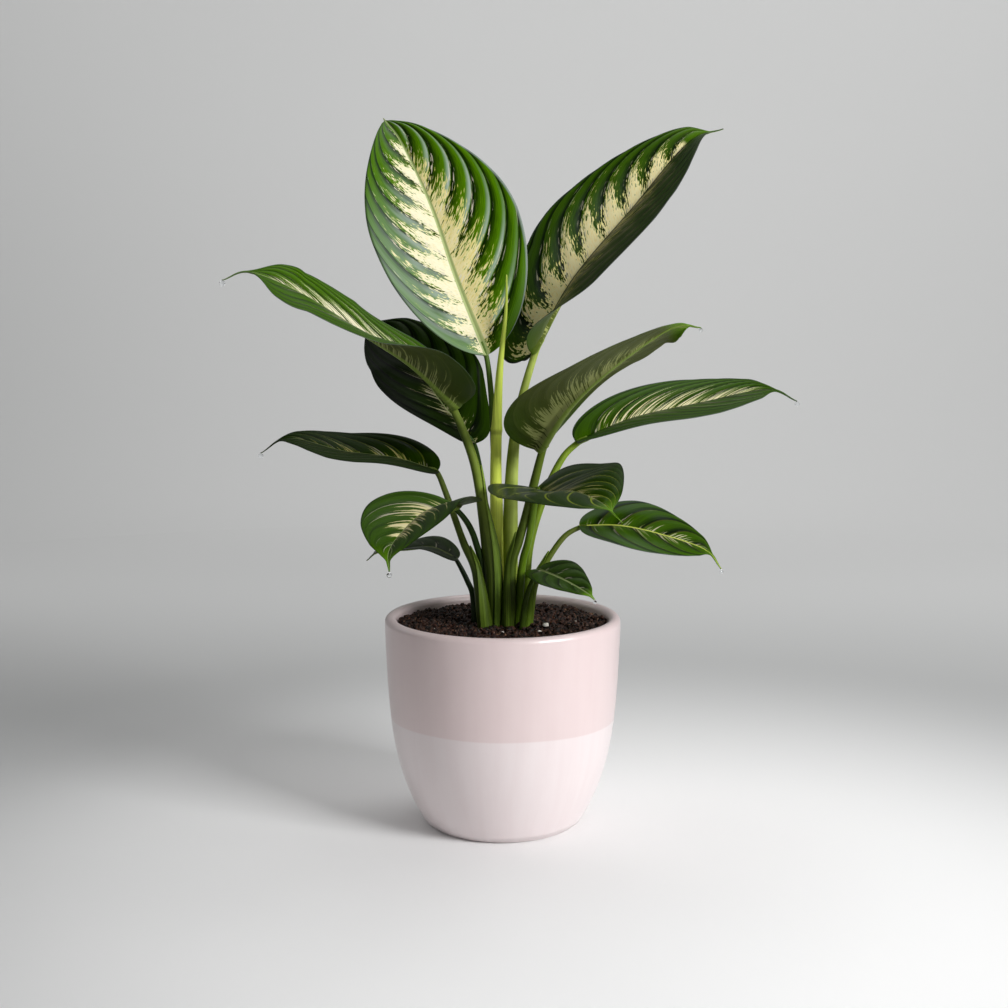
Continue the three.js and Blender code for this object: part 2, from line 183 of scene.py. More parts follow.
LEAVES = {
    "top_left_leaf": leaf(
        midrib=[[-10, 11, 298], [-29, 20, 345], [-46, 33, 393], [-66, 54, 435], [-79, 73, 453]],
        faces=[0.2, -0.85, 0.5], width=52, widest=0.46, fold=[[25, 15], [15, 24]], lobe=[0, 0],
        tails=((0.965, 0.995), (0.965, 0.995)), detail=1.0,
        stalk=[[-4, 16], [-4, 15, 196], [-6, 14, 250], [-8, 12, 280]], radii=[3.4, 3.2, 3, 2.6, 1.9],
        tone=0.95, gloss=0.05, veins=(11, 8), lean=(0.18, 0.3), relief=(0.7, 1.6),
        pale_margin=(0.0, 0.8), silver=(0.7, 0.85), sheen=(0.45, 0.0), rib_width=(0.5, 2.6),
        streaks=0.45, stroke=(1.5, 7), fingers=(0.2, 0.08), dashes=1.1, patches=(0.4, 0.15), specks=1.0,
        tan=(0.08, 0.6),
        stalk_top=paint(96, 124, 50), stalk_low=paint(30, 56, 8),
        cream_left=[(0, 0.25), (0.08, 0.45), (0.4, 0.4), (0.7, 0.26), (0.83, 0.1), (0.87, 0.0)],
        cream_right=[(0, 0.28), (0.1, 0.34), (0.4, 0.3), (0.62, 0.18), (0.78, 0.04), (0.84, 0.0)],
    ),
    "top_right_leaf": leaf(
        midrib=[[19, 18, 300], [44, 14, 345], [83, 31, 391], [120, 52, 434], [145, 64, 445]],
        faces=[-0.2, -0.4, 0.9], width=51, widest=0.4, fold=[[10, 34], [27, 22]], lobe=[28, 6],
        base_fullness=0.85, tails=((0.9, 0.965), (0.9, 0.965)),
        rolls=[(0, -0.2, 0.3, 0.0, 45), (1, -0.2, 0.26, 0.0, 58)], detail=1.0,
        stalk=[[5, 10], [5, 12, 196], [7, 14, 240], [12, 16, 270]], radii=[4.8, 4.8, 4.6, 3.8, 2.6],
        tone=0.55, under_tone=1.5, gloss=0.05, shade=(1.0, 0.42), tip=0.3, veins=(9.5, 9),
        lean=(0.22, 0.3), relief=(1.6, 0.8), pale_margin=(0.1, 0.6), silver=(0.12, 0.1),
        rib_width=(0.4, 0.9), rib_colour=scaled(DEEP_GREEN, 1.2),
        streaks=0.6, stroke=(1.4, 8), fingers=(0.22, 0.1), dashes=1.3, patches=(0.25, 0.5),
        sparse=(0.0, 0.08), tan=(0.5, 0.8), cream_tone=1.2,
        stalk_top=paint(172, 188, 92), stalk_low=paint(120, 138, 40),
        cream_left=[
            (0, 0.6), (0.1, 0.46), (0.25, 0.36), (0.5, 0.34), (0.75, 0.22), (0.83, 0.1), (0.86, 0.0),
        ],
        cream_right=[(0, 0.16), (0.2, 0.16), (0.6, 0.12), (0.8, 0.0)],
    ),
    "long_left_leaf": leaf(
        midrib=[
            [-29, -8, 266], [-53, -28, 292], [-83, -49, 313],
            [-114, -68, 334], [-142, -78, 346], [-156, -90, 341],
        ],
        faces=[-0.45, -0.5, 0.7], width=36.5, widest=0.39, fold=[[95, 9], [22, 7]], lobe=[7, 5],
        fold_ease=3, detail=0.85,
        stalk=[[-5.5, -2], [-6, -3, 162], [-13, -4, 205], [-19, -5, 235]],
        radii=[4.6, 5.6, 5.4, 3, 2.8],
        tone=0.7, gloss=0.03, contrast=0.7, shade=(0.8, 1.0), veins=(9, 9), lean=(0.3, 0.32),
        relief=(0.3, 0.5), pale_margin=(0.3, 0.3), silver=(0.2, 0.0), rib_width=(0.2, 0.6),
        streaks=1.5, stroke=(1.6, 36), fingers=(0.05, 0.12), dashes=0.4, patches=(0.2, 0.3),
        sparse=(0.06, 0.06), tan=(0.08, 0.0),
        stalk_top=paint(116, 134, 50), stalk_low=paint(38, 58, 4),
        cream_left=[(0, 0.1), (0.3, 0.1), (0.6, 0.05), (0.7, 0.0)],
        cream_right=[(0, 0.22), (0.3, 0.22), (0.6, 0.2), (0.78, 0.1), (0.84, 0.0)],
    ),
    "back_left_leaf": leaf(
        midrib=[[-18, 39, 240], [-40, 45, 266], [-60, 57, 293], [-81, 73, 316], [-99, 82, 319]],
        faces=[-0.15, -0.2, 0.95], width=42, widest=0.43, fold=[[22, 8], [11, 18]], lobe=[2, 6],
        detail=0.85,
        stalk=[[-12, 11], [-9, 16, 170], [-12, 25, 205], [-16, 34, 228]], radii=[3.4, 3, 2.6, 2.3, 2.1],
        tone=0.1, gloss=0.02, contrast=0.8, shade=(0.7, 1.5), veins=(8, 7), lean=(0.25, 0.3),
        relief=(1.0, 1.2), rib_width=(0.2, 0.5),
        streaks=1.6, stroke=(1.5, 30), dashes=0.3, sparse=(0.12, 0.12), tan=(0.3, 0.3), cream_tone=0.45,
        stalk_top=paint(60, 92, 30), stalk_low=paint(20, 44, 6),
        cream_left=[(0, 0.2), (0.3, 0.08), (0.5, 0.02), (0.55, 0.0)],
        cream_right=[(0, 0.06), (0.25, 0.03), (0.35, 0.0)],
    ),
    "upper_right_leaf": leaf(
        midrib=[[23, -8, 239], [40, -33, 268], [66, -58, 294], [97, -69, 315], [114, -67, 315]],
        faces=[-0.55, 0.4, 0.75], width=40, widest=0.37, fold=[[25, 0], [35, -7]], lobe=[2, 0],
        base_fullness=0.42, points=(0.85, 1.15), tails=((0.92, 0.96), (0.84, 0.97)),
        rolls=[(0, 0.8, 1.0, 0.5, -110)], detail=0.85,
        stalk=[[3.5, -6], [5, -6, 163], [10, -6.5, 182], [15, -7, 200]],
        radii=[4.6, 4.2, 3.2, 2.7, 2.8],
        tone=1.0, under_tone=0.85, tip=0.9, veins=(9, 9), lean=(0.25, 0.25), relief=(0.5, 0.5),
        streaks=0.9, stroke=(0.9, 16), fingers=(0.1, 0.12), dashes=1.1,
        stalk_top=paint(94, 112, 36), stalk_low=paint(48, 68, 4),
        cream_left=[(0, 0.1), (0.4, 0.14), (0.75, 0.1), (0.85, 0.0)],
        cream_right=[(0, 0.3), (0.2, 0.24), (0.4, 0.22), (0.6, 0.16), (0.75, 0.08), (0.82, 0.0)],
        under_left=[(0, 0.3), (0.5, 0.2), (0.9, 0.1), (1.0, 0.0)],
        under_right=[(0, 0.3), (0.2, 0.36), (0.32, 0.24), (0.6, 0.18), (0.75, 0.1), (0.82, 0.0)],
    ),
    "long_right_leaf": leaf(
        midrib=[[48, 31, 242], [86, 37, 257], [132, 42, 267], [174, 47, 275], [195, 49, 267]],
        faces=[0, -0.4, 0.9], width=29, widest=0.42, fold=[[18, 11], [29, 1]], lobe=[5, 3], detail=0.85,
        stalk=[[15, 6.5], [16, 12, 168], [26, 20, 205], [38, 28, 230]], radii=[3.6, 3.4, 2.8, 2.5, 2.3],
        tone=0.48, gloss=0.06, contrast=0.7, shade=(1.0, 0.75), veins=(9, 9), lean=(0.34, 0.3),
        relief=(0.9, 0.5), pale_margin=(0.2, 0.5), rib_width=(0.2, 0.6),
        rib_colour=scaled(DEEP_GREEN, 1.5),
        streaks=1.7, stroke=(1.5, 40), fingers=(0.1, 0.05), dashes=0.4, patches=(0.2, 0.2),
        sparse=(0.1, 0.1), tan=(0.3, 0.2), cream_tone=0.9,
        stalk_top=paint(120, 144, 36), stalk_low=paint(78, 104, 10),
        cream_left=[(0, 0.0), (0.08, 0.0), (0.3, 0.18), (0.6, 0.2), (0.8, 0.08), (0.86, 0.0)],
        cream_right=[(0, 0.0), (0.3, 0.02), (0.8, 0.02), (0.85, 0.0)],
    ),
    "middle_left_leaf": leaf(
        midrib=[[-42, 19, 224], [-69, 23, 232], [-103, 28, 236], [-139, 32, 244], [-158, 33, 234]],
        faces=[-0.15, -0.3, 0.95], width=24, widest=0.4, fold=[[20, 7], [24, 2]], lobe=[8, 4],
        detail=0.75,
        stalk=[[-9, -11], [-16, -9, 160], [-25, -3, 181], [-36, 12, 209]],
        radii=[4.6, 4.4, 2.8, 2.2, 2],
        tone=0.15, gloss=0.05, contrast=0.6, shade=(1.0, 1.3), veins=(8, 7), lean=(0.32, 0.32),
        relief=(0.6, 0.8), pale_veins=(0.25, 0.35), rib_width=(0.2, 0.4),
        streaks=1.8, stroke=(1.6, 34), fingers=(0.08, 0.12), dashes=0.3, sparse=(0.28, 0.28),
        tan=(0.9, 0.9), cream_tone=0.7,
        stalk_top=paint(110, 126, 58), stalk_low=paint(58, 76, 12),
        cream_left=[(0, 0.0), (0.15, 0.02), (0.7, 0.04), (0.8, 0.0)],
        cream_right=[(0, 0.0), (0.15, 0.04), (0.7, 0.05), (0.8, 0.0)],
    ),
    "front_left_leaf": leaf(
        midrib=[[-29, -18, 205], [-46, -36, 205], [-59, -62, 196], [-65, -88, 188], [-64, -99, 178]],
        faces=[-0.05, -0.15, 1], width=31, widest=0.39, fold=[[28, 15], [19, 20]], lobe=[14, 6],
        tails=((0.82, 0.97), (0.82, 0.97)), detail=0.75,
        stalk=[[-14, -2.5], [-13, -2, 160], [-17, -6, 181], [-22, -12, 194]],
        radii=[2.8, 2.5, 2.3, 2.1, 1.9],
        tone=0.42, gloss=0.05, contrast=0.4, shade=(0.8, 1.0), dull=(0.25, 0.0), tip=0.4, veins=(6, 7),
        lean=(0.25, 0.3), relief=(0.4, 0.4), rib_width=(0.2, 0.5),
        streaks=1.5, stroke=(1.8, 34), fingers=(0.1, 0.2), dashes=0.3, patches=(0.3, 0.3),
        sparse=(0.0, 0.1), tan=(0.5, 0.5), cream_tone=0.8,
        stalk_top=paint(52, 78, 24), stalk_low=paint(20, 42, 6),
        cream_left=[(0, 0.1), (0.3, 0.16), (0.6, 0.12), (0.75, 0.0)],
        cream_right=[(0, 0.1), (0.15, 0.24), (0.3, 0.3), (0.55, 0.22), (0.7, 0.0)],
    ),
    "small_left_leaf": leaf(
        midrib=[[-30, 34, 164], [-47, 39, 171], [-65, 45, 169], [-83, 53, 166], [-92, 57, 159]],
        faces=[0.05, -0.1, 1], width=20, widest=0.42, fold=[[12, 13], [14, 10]], lobe=[5, 2],
        detail=0.6,
        stalk=[[-17, 5], [-19, 10, 142], [-23, 18, 152]], radii=[2.4, 2.1, 1.8, 1.7],
        tone=0.13, gloss=0.05, contrast=0.5, dull=(0.3, 0.3), veins=(6, 6), relief=(0.4, 0.4),
        streaks=0.4,
        stalk_top=paint(56, 78, 30), stalk_low=paint(22, 44, 10),
    ),
    "front_right_leaf": leaf(
        midrib=[[21, -14, 216], [30, -38, 216], [41, -63, 220], [56, -84, 216], [68, -90, 205]],
        faces=[-0.35, 0.25, 0.9], width=40, widest=0.44, fold=[[20, 6], [27, -4]], lobe=[12, 20],
        base_fullness=0.5, tails=((0.85, 1.0), (0.85, 1.0)), detail=0.8,
        stalk=[[8, 2], [12, -3, 163], [16, -7, 182], [19, -10, 200]], radii=[3.4, 2.8, 2.5, 2.3, 2.1],
        tone=0.25, gloss=0.08, contrast=0.4, shade=(0.8, 1.0), dull=(0.0, 0.75), tip=1.0, veins=(9, 7),
        lean=(0.3, 0.22), relief=(0.5, 0.7), pale_veins=(0.9, 1.0), rib_width=(0.2, 0.5),
        streaks=1.7, stroke=(1.6, 34), fingers=(0.15, 0.1), dashes=0.3, sparse=(0.12, 0.3),
        tan=(0.7, 0.7), cream_tone=0.6,
        stalk_top=paint(104, 134, 28), stalk_low=paint(84, 114, 16),
        cream_left=[(0, 0.02), (0.2, 0.1), (0.4, 0.14), (0.7, 0.12), (0.8, 0.0)],
        cream_right=[(0, 0.0), (0.3, 0.05), (0.7, 0.1), (0.8, 0.0)],
    ),
    "lower_right_leaf": leaf(
        midrib=[[49, 6, 190], [75, -2, 191], [103, -4, 185], [128, -4, 176], [138, -7, 164]],
        faces=[0.65, -0.5, 0.6], width=24, widest=0.42, fold=[[14, 7], [10, 11]], lobe=[4, 0],
        detail=0.75,
        stalk=[[14, -4], [20, -2, 152], [28, 0, 168], [39, 4, 183]], radii=[3.6, 3, 2.4, 1.9, 1.8],
        tone=0.48, gloss=0.08, tip=0.5, veins=(6, 6), relief=(0.9, 0.9), pale_veins=(0.15, 0.15),
        pale_margin=(0.3, 0.3), sheen=(0.2, 0.15), rib_width=(0.3, 0.7), rib_colour=paint(190, 200, 90),
        streaks=1.6, stroke=(1.4, 26), dashes=0.4, sparse=(0.15, 0.15), tan=(0.08, 0.3),
        stalk_top=paint(92, 90, 44), stalk_low=paint(84, 110, 24),
        cream_left=[(0, 0.02), (0.3, 0.03), (0.7, 0.08), (0.82, 0.0)],
        cream_right=[(0, 0.02), (0.3, 0.02), (0.7, 0.06), (0.8, 0.0)],
    ),
    "small_right_leaf": leaf(
        midrib=[[22, -7, 164], [30, -19, 163], [40, -29, 160], [51, -38, 155], [56, -42, 151]],
        faces=[-0.05, -0.4, 0.9], width=16, widest=0.4, fold=[[17, 11], [14, 13]], lobe=[3, 4],
        tails=((0.85, 1.0), (0.85, 1.0)), detail=0.6,
        stalk=[[11, -12], [14, -11, 142], [17, -9, 153]], radii=[2.6, 2, 1.7, 1.5],
        tone=0.3, gloss=0.1, contrast=0.7, dull=(0.2, 0.0), tip=0.9, veins=(5, 5), relief=(0.7, 0.7),
        streaks=0.4,
        stalk_top=paint(84, 108, 28), stalk_low=paint(56, 78, 8),
    ),
}

ROLLED_LEAF = dict(
    line=[[-3, 7], [-4, 7, 200], [-4, 7, 240], [-2, 7, 285], [2, 6, 325], [2.5, 4, 348]],
    radii=[4.0, 4.0, 4.0, 3.3, 1.7, 0.4],
)
RING_PLACE = 0.59  # share of the rolled leaf's length where a ring shows

# Sheath edges: a thin skin round a stalk that ends in a free tip. Heights and flare in mm, turn and
# spread in degrees round the stalk (0 to the right, -90 towards the viewer).
SHEATHS = [
    dict(name="long_left_leaf", low=116, high=229, turn=-10, spread=75, flare=0.7),
    dict(name="upper_right_leaf", low=116, high=187, turn=-150, spread=75, flare=0.6),
    dict(name="middle_left_leaf", low=116, high=177, turn=-30, spread=85, flare=0.6),
    dict(name="lower_right_leaf", low=116, high=173, turn=-150, spread=85, flare=0.5),
]
SHEATH_GRID = (48, 25)
SHEATH_SKIN = 0.35

# Water drops that hang from leaf tips: leaf, middle of the drop below the tip, radius.
DROPS = [
    ("long_left_leaf", 1.6, 1.7),
    ("middle_left_leaf", 1.6, 1.7),
    ("long_right_leaf", 1.6, 1.6),
    ("front_left_leaf", 1.7, 1.6),
    ("lower_right_leaf", 1.5, 1.4),
    ("upper_right_leaf", 1.3, 1.2),
    ("small_right_leaf", 1.3, 1.2),
]


# ---------------------------------------------------------------- curves and meshes
def unit(vectors):
    return vectors / np.maximum(np.linalg.norm(vectors, axis=-1, keepdims=True), 1e-12)


def curve_through(points, stations):
    """Places and directions at shares of the length of a smooth curve through given points."""
    points = np.array(points, float)
    padded = np.vstack([2 * points[0] - points[1], points, 2 * points[-1] - points[-2]])
    s = np.linspace(0, 1, CURVE_SAMPLES, endpoint=False)[:, None]
    spans = []
    for a, b, c, d in zip(padded, padded[1:], padded[2:], padded[3:]):
        square = 2 * a - 5 * b + 4 * c - d
        cube = 3 * b - a - 3 * c + d
        spans.append(b + ((c - a) * s + square * s**2 + cube * s**3) / 2)
    dense = np.vstack([*spans, points[-1:]])
    lengths = np.concatenate([[0], np.cumsum(np.linalg.norm(np.diff(dense, axis=0), axis=1))])
    wanted = np.asarray(stations) * lengths[-1]
    slopes = np.gradient(dense, lengths, axis=0)
    places = np.stack([np.interp(wanted, lengths, dense[:, k]) for k in range(3)], axis=1)
    directions = np.stack([np.interp(wanted, lengths, slopes[:, k]) for k in range(3)], axis=1)
    return places, unit(directions), lengths[-1]


def smooth_step(low, high, x):
    share = np.clip((np.asarray(x, float) - low) / (high - low), 0, 1)
    return share * share * (3 - 2 * share)


def bell(low, high, t):
    """Rises from 0 at one end of a range to 1 in its middle and back to 0 at the other end."""
    middle = (low + high) / 2
    return smooth_step(low, middle, t) * (1 - smooth_step(middle, high, t))


def along(values, stations):
    """Evenly spaced values, read at shares from 0 to 1."""
    return np.interp(stations, np.linspace(0, 1, len(values)), values)


def add_object(name, data):
    added = bpy.data.objects.new(name, data)
    bpy.context.scene.collection.objects.link(added)
    return added


def make_piece(name, vertices, faces, materials, face_materials=None, uvs=None):
    """A smooth-shaded mesh object from points in mm, which rides with the plant."""
    mesh = bpy.data.meshes.new(name)
    mesh.from_pydata((np.asarray(vertices) * MM).tolist(), [], faces)
    for material in materials:
        mesh.materials.append(material)
    if face_materials is not None:
        mesh.polygons.foreach_set("material_index", face_materials)
    loop_vertices = np.zeros(len(mesh.loops), np.int32)
    mesh.loops.foreach_get("vertex_index", loop_vertices)
    for uv_name, uv in (uvs or {}).items():
        layer = mesh.uv_layers.new(name=uv_name)
        layer.data.foreach_set("uv", np.asarray(uv, np.float32)[loop_vertices].ravel())
    mesh.polygons.foreach_set("use_smooth", np.ones(len(mesh.polygons), bool))
    mesh.validate()
    mesh.update()
    piece = add_object(name, mesh)
    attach(piece, "root")
    return piece


def grid_faces(rows, columns, start=0, closed=False, flip=False):
    """Quads over a grid of points; closed joins the last column to the first."""
    faces = []
    for row in range(rows - 1):
        for column in range(columns if closed else columns - 1):
            a = start + row * columns + column
            b = start + row * columns + (column + 1) % columns
            quad = (a, b, b + columns, a + columns)
            faces.append(quad[::-1] if flip else quad)
    return faces


def shell_faces(rows, columns, flip=False):
    """Faces of a thin skin: its first grid, its second grid, and the rim between them. flip turns the
    two grids over."""
    index = np.arange(rows * columns).reshape(rows, columns)
    border = [*index[:-1, 0], *index[-1, :-1], *index[:0:-1, -1], *index[0, :0:-1]]
    border = [int(corner) for corner in border]
    behind = rows * columns
    rim = [(a, b, b + behind, a + behind) for a, b in zip(border, border[1:] + border[:1])]
    return grid_faces(rows, columns, flip=flip), grid_faces(rows, columns, behind, flip=not flip), rim


def shares_over(first, second):
    """Both shares at each point of a grid, as one list of pairs for a texture."""
    return np.stack(np.meshgrid(first, second, indexing="ij"), -1).reshape(-1, 2)


def ring_points(profile, sides):
    """Rings of points round the upright axis, one for each (radius, height)."""
    profile = np.array(profile, float)
    angles = np.linspace(0, 2 * np.pi, sides, endpoint=False)
    radius, height = profile[:, :1], profile[:, 1:]
    return np.stack([radius * np.cos(angles), radius * np.sin(angles), np.repeat(height, sides, 1)], -1)


def grid_normals(points):
    """Unit surface direction at each point of a grid (rows along, columns across)."""
    return unit(np.cross(np.gradient(points, axis=1), np.gradient(points, axis=0)))


# ---------------------------------------------------------------- shader building
class Number:
    """A number that varies over a surface. Arithmetic with it adds nodes to its material."""

    def __init__(self, shader, socket):
        self.shader = shader
        self.socket = socket

    def __add__(self, other):
        return self.shader.math("ADD", self, other)

    def __sub__(self, other):
        return self.shader.math("SUBTRACT", self, other)

    def __rsub__(self, other):
        return self.shader.math("SUBTRACT", other, self)

    def __mul__(self, other):
        return self.shader.math("MULTIPLY", self, other)

    def __truediv__(self, other):
        return self.shader.math("DIVIDE", self, other)

    def __pow__(self, power):
        return self.shader.math("POWER", self, power)

    def __abs__(self):
        return self.shader.math("ABSOLUTE", self)

    def step(self, low, high, to_low=0.0, to_high=1.0):
        """Smooth change from one value to another while this number crosses a range."""
        inputs = (self, low, high, to_low, to_high)
        return self.shader.number("MapRange", inputs, interpolation_type="SMOOTHSTEP")

    def fall(self, low, high):
        """Smooth change from 1 to 0 while this number crosses a range."""
        return self.step(low, high, 1.0, 0.0)


class Shader:
    """Short calls for building one material's node tree."""

    def __init__(self, name):
        self.material = bpy.data.materials.new(name)
        self.material.use_nodes = True
        self.tree = self.material.node_tree
        self.principled = self.tree.nodes["Principled BSDF"]

    def feed(self, socket, value):
        """Sets a socket to a constant, or links it to what varies."""
        if isinstance(value, Number):
            value = value.socket
        if isinstance(value, bpy.types.NodeSocket):
            self.tree.links.new(value, socket)
        else:
            socket.default_value = value

    def node(self, kind, inputs=(), **settings):
        """A new node with its settings and its inputs, which are in order or by name."""
        node = self.tree.nodes.new("ShaderNode" + kind)
        for key, value in settings.items():
            setattr(node, key, value)
        named = inputs.items() if isinstance(inputs, dict) else enumerate(inputs)
        for key, value in named:
            self.feed(node.inputs[key], value)
        return node

    def number(self, kind, inputs=(), output=0, **settings):
        return Number(self, self.node(kind, inputs, **settings).outputs[output])

    def math(self, operation, *values, clamp=False):
        return self.number("Math", values, operation=operation, use_clamp=clamp)

    def combine(self, x, y, z=0.0):
        return self.node("CombineXYZ", (x, y, z)).outputs[0]

    def split(self, vector):
        return [Number(self, output) for output in self.node("SeparateXYZ", (vector,)).outputs]

    def noise(self, vector, scale, detail=3.0, roughness=0.55):
        inputs = dict(Vector=vector, Scale=scale, Detail=detail, Roughness=roughness)
        return self.number("TexNoise", inputs, "Fac")

    def mix(self, factor, a, b, blend="MIX"):
        return self.node("Mix", {0: factor, 6: a, 7: b}, data_type="RGBA", blend_type=blend).outputs[2]

    def layers(self, colour, *above):
        """A colour with others laid over it, each given as (share, colour)."""
        for share, over in above:
            colour = self.mix(share, colour, over)
        return colour

    def curve(self, value, stops):
        """A number read from straight-line stops, each (place, value)."""
        node = self.node("ValToRGB", (value,))
        elements = node.color_ramp.elements
        while len(elements) < len(stops):
            elements.new(1.0)
        for element, (place, height) in zip(elements, stops):
            element.position = place
            element.color = (height, height, height, 1)
        return Number(self, node.outputs[0])

    def uv(self, name):
        return self.split(self.node("UVMap", uv_map=name).outputs[0])[:2]

    def place(self):
        """Place on the piece, in metres."""
        return self.node("TexCoord").outputs["Object"]

    def bump(self, height, distance, strength=1.0):
        bump = self.node("Bump", dict(Strength=strength, Distance=distance, Height=height))
        self.feed(self.principled.inputs["Normal"], bump.outputs[0])

    def set(self, **sockets):
        names = dict(colour="Base Color", roughness="Roughness", coat="Coat Weight",
                     coat_roughness="Coat Roughness", specular="Specular IOR Level",
                     transmission="Transmission Weight", ior="IOR", glow_colour="Emission Color",
                     glow="Emission Strength")
        for key, value in sockets.items():
            self.feed(self.principled.inputs[names[key]], value)
        return self.material


# ---------------------------------------------------------------- leaf pattern
def vein_phase(t, reach, is_right, growth, lean, count):
    """Where a place on a blade lies on its side veins: where its vein leaves the midrib, and the vein's
    number. It takes grids of numbers and numbers of a shader alike."""
    hooked = reach * lean + reach**VEIN_HOOK_POWER * VEIN_HOOK
    origin = t - hooked * (growth * (2 - growth))
    crowded = origin * (VEIN_CROWDING - origin * (VEIN_CROWDING - 1))
    return origin, crowded * count + is_right * SIDE_SHIFT


class BladeShader(Shader):
    """A blade's material, with the places and the pattern that its two faces share."""

    def __init__(self, name, leaf, seed, mask):
        super().__init__(name)
        self.t, across = self.uv("UVMap")
        side = across * 2.0 - 1.0
        self.reach = abs(side)
        self.is_right = self.math("GREATER_THAN", side, 0.0)
        growth = self.math("DIVIDE", self.t, VEIN_BASE, clamp=True)
        lean, count = self.by_half(leaf["lean"]), self.by_half(leaf["veins"])
        origin, phase = vein_phase(self.t, self.reach, self.is_right, growth, lean, count)
        self.turn = self.math("FRACT", phase)
        self.wave = abs(self.math("SINE", phase * math.pi))
        ahead = origin * curve_through(leaf["midrib"], [0])[2]
        aside = self.reach * leaf["width"]
        depth = self.is_right * 3.7 + float(seed)
        wide, long = leaf["stroke"]
        strokes = self.combine(ahead / wide, aside / long, depth)
        self.streaks = self.noise(strokes, 1.0, 4.0, 0.6)
        self.bands = self.noise(strokes, 0.28, 1.0, 0.5)
        self.dashes = self.combine(ahead / DASH_WIDTH, aside / (long * 0.5), depth)
        self.fine = self.noise(self.dashes, 1.0, 1.5)
        extent = self.by_half([self.curve(self.t, leaf[mask + half]) for half in ("_left", "_right")])
        self.present = extent.step(0.0, 0.08)
        fingers = self.math("COSINE", phase * (2 * math.pi) - 1.6)
        self.signal = (
            extent
            + (self.streaks - 0.5) * (leaf["streaks"] * 1.9)
            + (self.bands - 0.5) * self.by_half(leaf["patches"])
            + (self.fine - 0.5) * leaf["dashes"]
            + fingers * self.by_half(leaf["fingers"])
            - self.by_half(leaf["sparse"])
            - self.reach
        )

    def by_half(self, pair):
        """The first of two numbers on the left half of the blade, and the second on its right half."""
        left, right = pair
        return left if left == right else self.is_right * (right - left) + left

    def rib(self, narrow, wide):
        """1 on the midrib, which is wide at the stalk and narrow at the tip; widths in mm."""
        across_mm = self.uv("Millimetres")[1]
        return (abs(across_mm) / (self.t * (narrow - wide) + wide)).fall(0.7, 1.15)


def leaf_green(shader, leaf):
    """Green of the upper face: each pillow is light on one side and dark towards the next furrow, partly
    painted light and shade.
    """
    contrast, tone = leaf["contrast"], leaf["tone"]
    lightness = (
        0.77
        - shader.turn * (0.6 * contrast)
        + (shader.wave - 0.5) * (0.3 * contrast)
        + shader.streaks * 0.4
        + (shader.fine - 0.5) * 0.5
    )
    return shader.layers(
        scaled(DEEP_GREEN, tone),
        (lightness.step(0.3, 1.05), scaled(LEAF_GREEN, tone)),
        (shader.by_half(leaf["dull"]), DULL_GREEN),
        (shader.t.step(0.8, 1.0) * leaf["tip"], TIP_GREEN),
    )


def silver(shader, leaf):
    """Leaf's own silver and a painted highlight on one side of each pillow, and painted sheen near the
    margin.
    """
    t, reach, turn = shader.t, shader.reach, shader.turn
    left, right = leaf["silver"]
    low_side = turn.step(0.3, 0.6) * turn.fall(0.85, 1.0) * shader.by_half((left, 0.0))
    low_side = low_side * t.step(0.45, 0.75, 1.0, 0.1) * reach.step(0.45, 0.75, 1.0, 0.4)
    high_side = turn.step(0.03, 0.1) * turn.fall(0.1, 0.36) * shader.by_half((0.0, right))
    on_pillows = (low_side + high_side) * reach.step(0.08, 0.3) * reach.fall(0.6, 0.98)
    sheen = reach.step(0.35, 0.7) * t.fall(0.25, 0.75) * shader.by_half(leaf["sheen"])
    return shader.math("MAXIMUM", on_pillows, sheen) * shader.bands.step(0.3, 0.6, 0.5, 1.0)


def cream_colour(shader, leaf):
    """Cream with tan in it, partly painted shade on a half in shade, and yellow-green where the strokes
    end.
    """
    bright = leaf["cream_tone"]
    return shader.layers(
        scaled(CREAM, bright),
        (shader.fine.step(0.45, 0.75, 0.0, 0.4) + shader.by_half(leaf["tan"]), scaled(TAN, bright)),
        (shader.signal.step(0.0, 0.12, 0.5, 0.0), scaled(CREAM_EDGE, bright)),
    )


def specks(shader):
    """Specks along the furrows, outside the cream."""
    spots = shader.noise(shader.dashes, 0.9, 0.0).step(0.63, 0.67)
    return spots * shader.wave.fall(0.3, 0.6) * shader.signal.step(-0.6, -0.2)


